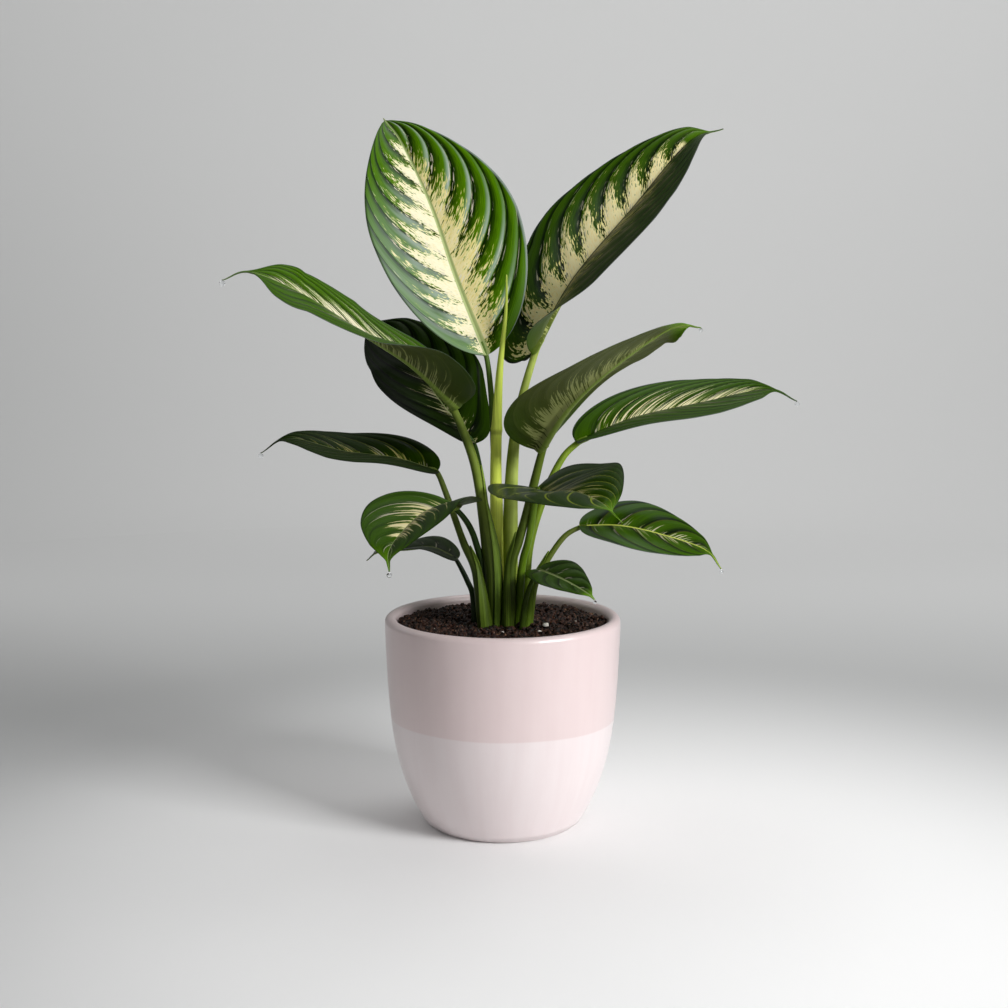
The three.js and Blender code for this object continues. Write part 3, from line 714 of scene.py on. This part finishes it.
def upper_material(name, leaf, seed):
    shader = BladeShader(name + "_upper", leaf, seed, "cream")
    tone, reach, wave = leaf["tone"], shader.reach, shader.wave
    cream = shader.signal.step(-0.015, 0.03) * shader.present
    fringe = shader.signal.step(-0.16, 0.0) * shader.present
    # painted shade in the furrows along the veins, with the veins' own darker green; it is weaker in the
    # cream
    furrow = wave.fall(0.04, 0.2) * reach.step(0.05, 0.3) * (0.6 - cream * 0.5) * leaf["contrast"]
    pale_vein = wave.fall(0.06, 0.2) * reach.fall(0.7, 0.95) * shader.by_half(leaf["pale_veins"])
    margin = reach.step(0.96, 0.99)
    colour = shader.layers(
        leaf_green(shader, leaf),
        # the leaf's own silver, with painted highlight and painted sheen
        (silver(shader, leaf), scaled(SILVER_AND_HIGHLIGHT_GREEN, tone)),
        (fringe * 0.3, scaled(CREAM_EDGE, 0.25 + 0.5 * tone)),
        (cream, cream_colour(shader, leaf)),
        (specks(shader) * leaf["specks"], scaled(CREAM, 0.3 + 0.5 * tone)),
        (furrow, scaled(DEEP_GREEN, tone)),
        (pale_vein, scaled(CREAM_EDGE, 0.3 + 0.6 * tone)),
        (shader.rib(*leaf["rib_width"]) * 0.9, leaf["rib_colour"]),
        (margin * 0.7, scaled(DEEP_GREEN, 0.7)),
        # painted highlight along the margin
        (margin * shader.by_half(leaf["pale_margin"]), scaled(SILVER_AND_HIGHLIGHT_GREEN, 0.3 + 0.5 * tone)),
    )
    # painted shade: each half of the blade is darkened by its share of shade
    shade = shader.by_half(leaf["shade"])
    colour = shader.mix(1.0, colour, shader.combine(shade, shade, shade), "MULTIPLY")
    grain = shader.noise(shader.place(), 1100.0, 2.0)
    shader.bump(shader.fine * 0.5 + grain * 0.5, 0.0003, 0.5)
    return shader.set(colour=colour, roughness=shader.streaks * 0.14 + 0.26, specular=leaf["gloss"])


def under_material(name, leaf, seed):
    shader = BladeShader(name + "_under", leaf, seed, "under")
    tone, t, streaks = leaf["under_tone"], shader.t, shader.streaks
    colour = shader.layers(
        scaled(UNDER_GREEN, 0.5 * tone),
        (streaks, scaled(UNDER_GREEN, 1.2 * tone)),
        (t.step(0.1, 0.4, 0.8, 0.0) * shader.reach, scaled(LEAF_GREEN, 0.4 * tone)),
        (shader.wave.step(0.05, 0.3, 0.08, 0.0), scaled(UNDER_PALE, 0.8 * tone)),
        (t.step(0.82, 0.96) * leaf["tip"], TIP_GREEN),
        (shader.signal.step(-0.03, 0.06) * shader.present * 0.7, scaled(UNDER_PALE, 0.3 + 0.7 * tone)),
        (shader.rib(0.8, 2.6) * 0.8, scaled(STALK_GREEN, 0.9)),
    )
    shader.bump(streaks, 0.0003, 0.4)
    return shader.set(colour=colour, roughness=streaks * 0.15 + 0.42, specular=0.2)


# ---------------------------------------------------------------- leaf blades
def midrib_frame(leaf, t):
    """Places on the midrib, the direction of the tip there, and the way up."""
    centre, forward, _ = curve_through(leaf["midrib"], t)
    faces = np.array(leaf["faces"], float)
    return centre, forward, unit(faces - (forward @ faces)[:, None] * forward)


def outline(t, leaf, half):
    """Half width along the blade, as a share of the greatest half width."""
    widest = leaf["widest"]
    to_base = np.clip((widest - t) / widest, 0, 1)
    to_tip = np.clip((t - widest) / (1 - widest), 0, 1)
    base = (1 - to_base**BASE_ROUND) ** leaf["base_fullness"]
    tip = (1 - to_tip**TIP_FULL) ** leaf["points"][half]
    return np.where(t < widest, base, tip)


def half_widths(t, leaf, half):
    """Half width in mm of one half, with the slender drip tip at the end."""
    narrowing = 1 - DRIP_NARROWING * smooth_step(*leaf["tails"][half], t)
    drip = np.minimum(DRIP_WIDTH, TIP_WIDTH + TIP_TAPER * (1 - t))
    return np.maximum(leaf["width"] * outline(t, leaf, half) * narrowing, np.minimum(drip, 60 * t + 0.4))


def running_sum(values, steps):
    """Sum of values times steps from the first column on, by the rule of trapezia."""
    total = np.zeros_like(values)
    total[:, 1:] = np.cumsum((values[:, 1:] + values[:, :-1]) / 2 * steps, axis=1)
    return total


def blade_half(leaf, half, t, shares):
    """Middle surface of one half: points and distance from the midrib, for stations and shares across."""
    centre, forward, up = midrib_frame(leaf, t)
    outward = np.cross(forward, up) * (1 if half == RIGHT else -1)
    at_stalk, at_tip = leaf["fold"][half]
    eased = (1 - t) ** leaf["fold_ease"]
    angle = np.radians(at_tip + (at_stalk - at_tip) * eased)[:, None] + math.radians(BLADE_CURL) * shares
    for roll_half, low, high, from_share, degrees in leaf["rolls"]:
        if roll_half == half:
            turn = math.radians(degrees) * smooth_step(from_share, 1, shares)
            angle = angle + bell(low, high, t)[:, None] * turn
    width = half_widths(t, leaf, half)[:, None]
    out = width * running_sum(np.cos(angle), np.diff(shares))
    rise = width * running_sum(np.sin(angle), np.diff(shares))
    lobe = leaf["lobe"][half] * np.sin(np.pi * np.clip(t / LOBE_END, 0, 1) ** 0.6)
    back = lobe[:, None] * shares**1.5
    moves = ((outward, out), (up, rise), (-forward, back))
    return centre[:, None] + sum(way[:, None] * move[..., None] for way, move in moves), width * shares


def blade_grid(leaf, t, shares):
    """Middle surface of a blade, from the left margin to the right one, and distance from the midrib."""
    left, left_across = blade_half(leaf, LEFT, t, shares)
    right, right_across = blade_half(leaf, RIGHT, t, shares)
    points = np.concatenate([left[:, :0:-1], right], axis=1)
    return points, np.concatenate([-left_across[:, :0:-1], right_across], axis=1)


def pillows(leaf, t, v):
    """Height of the upper face between the side veins, in mm, for grids of places."""
    reach, is_right = np.abs(v), v > 0
    lean, count, relief = [np.where(is_right, *leaf[key][::-1]) for key in ("lean", "veins", "relief")]
    _, phase = vein_phase(t, reach, is_right, np.clip(t / VEIN_BASE, 0, 1), lean, count)
    room = smooth_step(0.04, 0.3, reach) * (1 - 0.75 * smooth_step(0.55, 1, reach))
    room = room * smooth_step(0, 0.5, outline(t, leaf, RIGHT))
    return relief * room * (np.abs(np.sin(np.pi * phase)) ** 0.8 - 0.6)


def blade_piece(name, leaf, seed):
    rows = int(BLADE_ROWS * leaf["detail"])
    t = (1 - np.cos(np.pi * np.linspace(0, 1, rows))) / 2
    # columns lie closer together near the midrib and the margin
    even = np.linspace(0, 1, int(HALF_COLUMNS * leaf["detail"]) + 1)
    shares = even - 0.12 * np.sin(2 * np.pi * even)
    v = np.concatenate([-shares[:0:-1], shares])
    points, across = blade_grid(leaf, t, shares)
    grid_t, grid_v = np.meshgrid(t, v, indexing="ij")
    points = points + grid_normals(points) * pillows(leaf, grid_t, grid_v)[..., None]
    normals = grid_normals(points)
    # the midrib is a groove above and a ridge below
    widest_here = np.abs(across).max(axis=1, keepdims=True)
    rib_radius = (leaf["radii"][-1] * (1 - grid_t) ** 0.8 + 0.25) * np.minimum(1, widest_here / 3 + 0.1)
    ridge = np.sqrt(np.clip(1 - (across / (1.3 * rib_radius)) ** 2, 0, 1)) * rib_radius
    groove = VEIN_GROOVE * np.exp(-((across / 0.9) ** 2)) * np.minimum(1, widest_here / 5)
    half_thickness = BLADE_THICKNESS / 2 * (1 - 0.6 * smooth_step(0.9, 1, np.abs(grid_v)))
    top = points + normals * (half_thickness - groove)[..., None]
    under = points - normals * (half_thickness + ridge)[..., None]
    upper_faces, under_faces, rim = shell_faces(*across.shape)
    uv = shares_over(t, (v + 1) / 2)
    length = curve_through(leaf["midrib"], [0])[2]
    millimetres = np.stack([grid_t * length, across], -1).reshape(-1, 2)
    piece = make_piece(
        name + "_fine_blade",
        np.vstack([top.reshape(-1, 3), under.reshape(-1, 3)]),
        upper_faces + under_faces + rim,
        [upper_material(name, leaf, seed), under_material(name, leaf, seed)],
        [0] * len(upper_faces) + [1] * len(under_faces) + [0] * len(rim),
        {"UVMap": np.vstack([uv, uv]), "Millimetres": np.vstack([millimetres, millimetres])},
    )
    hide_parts(name + "_blade")


# ---------------------------------------------------------------- stalks
def tube_piece(name, line, radii, grid, shape, material, slot):
    """A closed tube round a curve, with one direction kept steady along it."""
    rows, sides = grid
    t = np.linspace(0, 1, rows)
    centre, forward, _ = curve_through(line, t)
    side = np.cross(forward[0], [0.0, -1.0, 0.0])
    normals = []
    for direction in forward:
        side = side - direction * (side @ direction)
        side = side / np.linalg.norm(side)
        normals.append(side)
    normals = np.array(normals)
    binormals = np.cross(forward, normals)
    angles = np.linspace(0, 2 * np.pi, sides, endpoint=False)
    radius = along(radii, t)[:, None] * shape(t[:, None], angles[None, :])
    rings = (
        centre[:, None]
        + normals[:, None] * (radius * np.cos(angles))[..., None]
        + binormals[:, None] * (radius * np.sin(angles))[..., None]
    )
    # the seam column is doubled so that the texture doesn't wrap back
    columns = sides + 1
    seamed = np.concatenate([rings, rings[:, :1]], axis=1).reshape(-1, 3)
    start, end = len(seamed), len(seamed) + 1
    faces = grid_faces(rows, columns, flip=True)
    last_row = (rows - 1) * columns
    for column in range(sides):
        faces.append((column, column + 1, start))
        faces.append((last_row + column + 1, last_row + column, end))
    vertices = np.vstack([seamed, rings[0].mean(0), rings[-1].mean(0)])
    uv = np.vstack([shares_over(t, np.linspace(0, 1, columns)), [[0, 0.5], [1, 0.5]]])
    return make_piece(name, vertices, faces, [material], None, {"UVMap": uv})


def fibres_along(shader, stretch, count, seed=0.0):
    """Fine fibres that run along a stalk."""
    t, around = shader.uv("UVMap")
    return shader.noise(shader.combine(t * stretch, around * count, seed), 1.0, 3.0)


def stalk_material(name, top, low, seed):
    shader = Shader(name + "_skin")
    place = shader.place()
    fibres = fibres_along(shader, 3.0, 30.0, float(seed))
    # painted shade: one side of a stalk is darker than the other, the side away from the light
    turn = shader.math("COSINE", shader.uv("UVMap")[1] * (2 * math.pi))
    colour = shader.layers(
        low,
        # lighter higher up: the stalk's own colour, with painted shade low down where the stalks crowd
        (shader.split(place)[2].step(0.135, 0.23), top),
        (fibres.step(0.35, 0.75, 0.0, 0.45), scaled(top, 1.35)),
        (shader.noise(place, 60.0, 2.0).step(0.4, 0.7, 0.0, 0.35), scaled(low, 0.7)),
        (turn.step(-0.9, 0.6, 0.6, 0.0), scaled(low, 0.5)),
    )
    shader.bump(fibres, 0.0002, 0.5)
    return shader.set(colour=colour, roughness=fibres * 0.2 + 0.32, specular=0.16)


def stalk_shape(leaf):
    """Points of a stalk from under the soil to where it runs on as the midrib, and its radii."""
    (x, y), *rest = leaf["stalk"]
    centre, _, up = midrib_frame(leaf, np.array([0.0, 0.05]))
    radius = leaf["radii"][-1]
    ends = centre - up * radius * np.array([[0.75], [0.5]])
    return [[x, y, ROOT_LEVEL], *rest, *ends.tolist()], leaf["radii"] + [radius * 0.8]


def stalk_piece(name, leaf, seed):
    def channel(t, angle):
        # shallow groove along the upper side, and a slightly oval section
        groove = np.exp(-(((angle - np.pi) / 0.5) ** 2)) * smooth_step(0.3, 0.8, t)
        return 1 + 0.05 * np.cos(2 * angle) - 0.1 * groove

    material = stalk_material(name, leaf["stalk_top"], leaf["stalk_low"], seed)
    piece = tube_piece(name + "_fine_stalk", *stalk_shape(leaf), (72, 28), channel, material, "leaf_stalk")
    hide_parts(name + "_stalk")


def sheath_piece(index, name, low, high, turn, spread, flare):
    """The edge of a leaf sheath: a thin skin round the stalk that narrows to a free tip."""
    rows, columns = SHEATH_GRID
    line, radii = stalk_shape(LEAVES[name])
    fine = np.linspace(0, 1, 400)
    heights = curve_through(line, fine)[0][:, 2]
    stations = np.interp(np.linspace(low, high, rows), heights, fine)
    centre, forward, _ = curve_through(line, stations)
    share = np.linspace(0, 1, rows)[:, None]
    across = np.linspace(-1, 1, columns)
    width = np.radians(spread) * (1 - share**2.5) ** 0.9 + 0.06
    angle = np.radians(turn) + width * across
    radius = along(radii, stations)[:, None] * 1.03 + 0.25
    radius = radius + flare * share**3 + 0.5 * share * np.abs(across) ** 4
    outward = np.stack([np.cos(angle), np.sin(angle), np.zeros_like(angle)], -1)
    outward = unit(outward - forward[:, None] * (outward * forward[:, None]).sum(-1, keepdims=True))
    skins = [centre[:, None] + outward * (radius - inset)[..., None] for inset in (0, SHEATH_SKIN)]
    vertices = np.concatenate(skins).reshape(-1, 3)
    faces = [face for group in shell_faces(rows, columns, flip=True) for face in group]
    uv = np.vstack([shares_over(stations, np.linspace(0, 1, columns))] * 2)
    top, below = scaled(STALK_GREEN, 1.5), scaled(LEAVES[name]["stalk_low"], 1.25)
    skin = stalk_material(f"sheath_{index}", top, below, index * 5)
    make_piece(name + "_sheath", vertices, faces, [skin], None, {"UVMap": uv})


def drop_pieces():
    """Clear drops of water at the leaf tips."""
    clear = dict(colour=(0.97, 0.99, 1.0, 1), roughness=0.02, transmission=1.0, ior=1.33)
    water = Shader("clear_water").set(**clear)
    ball, faces = crumb_shape(3)
    upper = np.clip(ball[:, 2:], 0, 1)
    drop = ball * (1 + upper * [-0.35, -0.35, 0.25])
    for index, (name, below, radius) in enumerate(DROPS):
        middle = np.array(LEAVES[name]["midrib"][-1]) - [0, 0, below]
        make_piece(f"{name}_drop_{index}", drop * radius + middle, faces.tolist(), [water])


# ---------------------------------------------------------------- rolled new leaf
def rolled_material():
    shader = Shader("new_leaf_skin")
    z = shader.split(shader.place())[2]
    fibres = fibres_along(shader, 5.0, 26.0)
    from_ring = abs(shader.uv("UVMap")[0] - (RING_PLACE - 0.008))
    colour = shader.layers(
        paint(214, 226, 92),
        (z.step(0.2, 0.32), paint(198, 214, 92)),
        (fibres.step(0.35, 0.7, 0.0, 0.5), paint(176, 196, 72)),
        # painted shade near the soil, among the stalks
        (z.step(0.13, 0.17, 0.8, 0.0), paint(60, 84, 20)),
        # painted shade: a dark line just under the ring's bulge
        (from_ring.step(0.002, 0.01, 0.45, 0.0), paint(110, 116, 50)),
    )
    shader.bump(fibres, 0.0002, 0.5)
    return shader.set(colour=colour, roughness=0.4, specular=0.2)


def rolled_leaf_piece():
    def roll(t, angle):
        # one edge lies over the rest, in a long spiral
        turn = (angle / (2 * np.pi) + 1.2 * t + 0.55) % 1.0
        ring = 0.12 * np.exp(-(((t - RING_PLACE) / 0.009) ** 2))
        return 0.93 + 0.13 * turn * smooth_step(0.0, 0.06, turn) + ring

    (x, y), *rest = ROLLED_LEAF["line"]
    line, radii = [[x, y, ROOT_LEVEL], *rest], ROLLED_LEAF["radii"]
    piece = tube_piece("rolled_leaf_fine", line, radii, (160, 56), roll, rolled_material(), "new_leaf")
    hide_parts("rolled_new_leaf")


# ---------------------------------------------------------------- pot
def wall_radius(height):
    drop = np.maximum(0, (POT_SHOULDER - np.asarray(height, float)) / POT_SHOULDER)
    return POT_RADIUS - POT_TAPER * drop - POT_BELLY * drop**POT_BELLY_POWER


def arc(radius, height, size, angles):
    """(radius, height) of points on a circle's arc."""
    turns = np.radians(angles)
    return list(zip(radius + size * np.cos(turns), height + size * np.sin(turns)))


def pot_profile():
    """(radius, height) along the underside, up the outside, over the lip and down the inside."""
    foot_edge = wall_radius(0) - POT_FOOT_ROUND
    foot = [(wall_radius(0) - 12, 0), (foot_edge, 0)]
    foot += arc(foot_edge, POT_FOOT_ROUND, POT_FOOT_ROUND, np.linspace(-80, -10, 6))
    outside = [(wall_radius(z), z) for z in np.linspace(POT_FOOT_ROUND, POT_SHOULDER, 40)]
    crest = arc(POT_RADIUS - POT_WALL / 2, LIP_LEVEL, POT_WALL / 2, np.linspace(0, 180, 19))
    inside = [(wall_radius(z) - POT_WALL, z) for z in np.linspace(POT_SHOULDER, POT_FLOOR, 30)]
    return foot + outside + crest + inside


def glaze_material():
    shader = Shader("blush_glaze")
    place = shader.place()
    x, y, z = shader.split(place)
    angle = shader.math("ARCTAN2", y, x)
    tilt = shader.math("COSINE", angle + 2.0) * (GLAZE_TILT * MM)
    sway = shader.noise(shader.combine(x, y), 9.0, 1.0) * (GLAZE_SWAY * MM)
    above = z - (tilt + sway + GLAZE_LINE * MM)
    mottle = shader.noise(place, 14.0, 4.0)
    streak = shader.noise(shader.combine(angle * 9.0, z * 12.0), 1.0, 3.0)
    high = shader.mix(mottle, paint(224, 204, 204), paint(230, 212, 211))
    colour = shader.layers(
        shader.mix(mottle, paint(233, 220, 221), paint(238, 227, 227)),
        (above.step(-GLAZE_BLUR * MM, GLAZE_BLUR * MM), high),
        (streak.step(0.3, 0.8, 0.0, 0.12), paint(205, 176, 178)),
    )
    shader.bump(shader.noise(place, 45.0, 2.0), 0.0004, 0.12)
    return shader.set(colour=colour, roughness=mottle * 0.08 + 0.4, coat=1.0, coat_roughness=0.3)


def pot_piece():
    profile = pot_profile()
    rings = ring_points(profile, POT_SEGMENTS)
    vertices = np.vstack([rings.reshape(-1, 3), [[0, 0, 0], [0, 0, POT_FLOOR]]])
    faces = grid_faces(len(profile), POT_SEGMENTS, closed=True)
    under, floor = len(vertices) - 2, len(vertices) - 1
    last = (len(profile) - 1) * POT_SEGMENTS
    for side in range(POT_SEGMENTS):
        following = (side + 1) % POT_SEGMENTS
        faces.append((following, side, under))
        faces.append((last + side, last + following, floor))
    piece = make_piece("glazed_pot", vertices, faces, [glaze_material()])
    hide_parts("pot")


# ---------------------------------------------------------------- soil
def soil_height(x, y):
    share = np.hypot(x, y) / (POT_RADIUS - POT_WALL)
    waves = np.sin(x / 9 + 1) * np.cos(y / 11) + np.sin(x / 17 - y / 8)
    return SOIL_AT_CROWN + (SOIL_AT_WALL - SOIL_AT_CROWN) * share**2 + SOIL_WAVES * waves


def soil_material():
    shader = Shader("dark_potting_mix")
    place = shader.place()
    colour = shader.layers(
        paint(6, 2, 0),
        (shader.noise(place, 420.0, 3.0).step(0.4, 0.65), paint(64, 35, 22)),
        (shader.noise(place, 700.0, 2.0).step(0.6, 0.7, 0.0, 0.7), paint(150, 112, 84)),
    )
    shader.bump(shader.noise(place, 1400.0, 3.0), 0.0004, 0.8)
    return shader.set(colour=colour, roughness=0.55, specular=0.3)


def perlite_material():
    shader = Shader("perlite")
    tint = shader.noise(shader.place(), 700.0, 3.0)
    shader.bump(tint, 0.0003, 0.6)
    return shader.set(colour=shader.mix(tint, paint(190, 184, 170), paint(240, 238, 230)), roughness=0.8)


def crumb_shape(subdivisions=2):
    """Points and faces of a small round body, as arrays."""
    ball = bmesh.new()
    bmesh.ops.create_icosphere(ball, subdivisions=subdivisions, radius=1.0)
    ball.verts.ensure_lookup_table()
    points = np.array([v.co[:] for v in ball.verts])
    faces = np.array([[v.index for v in f.verts] for f in ball.faces])
    ball.free()
    return points, faces


def crumb(random, ball, sizes, reach, sink):
    """One irregular crumb, at a random place on the soil."""
    angle = random.uniform(0, 2 * np.pi)
    radius = reach * math.sqrt(random.uniform(0, 1))
    x, y = radius * math.cos(angle), radius * math.sin(angle)
    size = random.uniform(*sizes) * random.uniform(0.7, 1.3) / 2
    stretch = random.uniform(0.65, 1.25, 3)
    lumps = 1 + 0.28 * np.sin(ball @ random.uniform(-4, 4, 3) + random.uniform(0, 6))
    turn, _ = np.linalg.qr(random.normal(size=(3, 3)))
    corners = random.normal(0, 0.14, ball.shape)
    body = (ball * lumps[:, None] * stretch + corners) @ turn * size
    return body + [x, y, soil_height(x, y) + size * sink]


def perlite_grain(random, ball, x, y, size):
    """One angular white grain, at a given place on the soil."""
    lumps = 1 + 0.3 * np.sin(ball @ random.uniform(-4, 4, 3))
    body = ball * lumps[:, None] * [0.6, 0.45, 0.4] * size
    return body + [x, y, soil_height(x, y) + 0.85 * size]


def loose_piece(name, bodies, ball_faces, material):
    """Many small bodies of one shape, as one piece."""
    faces = [ball_faces + index * len(bodies[0]) for index in range(len(bodies))]
    return make_piece(name, np.vstack(bodies), np.vstack(faces).tolist(), [material])


def soil_pieces():
    random = np.random.default_rng(7)
    rings, sides = 70, 160
    top = ring_points([(radius, 0) for radius in np.linspace(0.4, SOIL_RADIUS, rings)], sides)
    top[..., 2] = soil_height(top[..., 0], top[..., 1]) + random.uniform(*SOIL_ROUGHNESS, (rings, sides))
    grid = np.concatenate([top, ring_points(SOIL_BELOW, sides)])
    faces = grid_faces(len(grid), sides, closed=True, flip=True)
    count = len(grid) * sides
    faces.append(tuple(range(sides)))
    faces.append(tuple(range(count - sides, count))[::-1])
    mix, white = soil_material(), perlite_material()
    ground = make_piece("potting_mix", grid.reshape(-1, 3), faces, [mix])
    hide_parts("soil")
    ball, ball_faces = crumb_shape()
    crumbs = [crumb(random, ball, CRUMB_SIZES, SOIL_RADIUS - 1, 0.55) for _ in range(CRUMBS)]
    loose_piece("soil_crumbs", crumbs, ball_faces, mix)
    grains = [crumb(random, ball, PERLITE_SIZES, SOIL_RADIUS - 4, 0.9) for _ in range(PERLITE_GRAINS)]
    loose_piece("perlite_grains", grains, ball_faces, white)
    big_grains = [perlite_grain(random, ball, *grain) for grain in BIG_GRAINS]
    loose_piece("big_perlite_grains", big_grains, ball_faces, white)


# ---------------------------------------------------------------- stage, light and camera
def stage_paint(name):
    """Painted light: pale round the plant and darker further out, with a painted glow behind the plant."""
    shader = Shader(name + "_paint")
    x, y, z = shader.split(shader.place())
    aside, ahead = x - 0.06, y + 0.12
    away = shader.math("SQRT", aside * aside + ahead * ahead)
    # painted light: the floor darkens away from the plant, as the light falls off
    colour = shader.mix(away.step(0.15, 0.6), paint(244, 244, 244), paint(168, 169, 169))
    # painted light: a glow behind the plant, brighter higher up and to the right
    middle = (1.0 - x * x * 1.1) * y.step(0.8, 1.6)
    glow = (x * 0.06 + z * 0.11 + 0.23 + middle * (0.085 - z * 0.04)) * y.step(0.0, 0.9)
    return shader.set(colour=colour, roughness=0.7, glow_colour=(1.0, 1.0, 0.99, 1), glow=glow)


def stage_surface(name, profile):
    """A round surface from (radius, height) pairs."""
    points = ring_points(profile, STAGE_SIDES).reshape(-1, 3)
    mesh = bpy.data.meshes.new(name)
    mesh.from_pydata(points.tolist(), [], grid_faces(len(profile), STAGE_SIDES, closed=True, flip=True))
    mesh.polygons.foreach_set("use_smooth", np.ones(len(mesh.polygons), bool))
    mesh.materials.append(stage_paint(name))
    surface = add_object(name, mesh)
    return surface


def stage():
    """A wide pale floor and a round backdrop, lighter behind the plant by a painted glow."""
    stage_surface("floor", [(0.001, 0), (0.25, 0), (0.6, 0), (FLOOR_RADIUS, 0)])
    bend = arc(FLOOR_RADIUS, BEND, BEND, np.linspace(-90, 0, 16))
    backdrop = stage_surface("backdrop", bend + [(FLOOR_RADIUS + BEND, BACKDROP_TOP)])
    # glossy leaves mirror the dim surroundings instead of the backdrop
    backdrop.visible_glossy = False


def lights():
    for name, place, size, power in LAMPS:
        data = bpy.data.lights.new(name, "AREA")
        data.shape = "SQUARE"
        data.size = size
        data.energy = power
        lamp = add_object(name, data)
        lamp.location = place
        lamp.rotation_euler = (Vector(LAMP_TARGET) - Vector(place)).to_track_quat("-Z", "Y").to_euler()
    world = bpy.data.worlds.new("studio")
    world.use_nodes = True
    sky = world.node_tree.nodes["Background"]
    sky.inputs["Color"].default_value = (1.0, 1.0, 1.0, 1)
    sky.inputs["Strength"].default_value = WORLD_LIGHT
    bpy.context.scene.world = world
    bpy.context.scene.view_settings.view_transform = "Standard"


def camera():
    data = bpy.data.cameras.new("camera")
    data.sensor_width = 36
    data.lens = LENS
    eye = add_object("camera", data)
    eye.location = EYE
    eye.rotation_euler = (math.radians(90 - EYE_DOWN), 0, math.radians(EYE_TURN))
    bpy.context.scene.camera = eye


camera()
pot_piece()
soil_pieces()
for order, (leaf_name, leaf_shape) in enumerate(LEAVES.items()):
    blade_piece(leaf_name, leaf_shape, order * SEED_STEP)
    stalk_piece(leaf_name, leaf_shape, order * SEED_STEP)
rolled_leaf_piece()
for order, sheath in enumerate(SHEATHS):
    sheath_piece(order, **sheath)
drop_pieces()
stage()
lights()
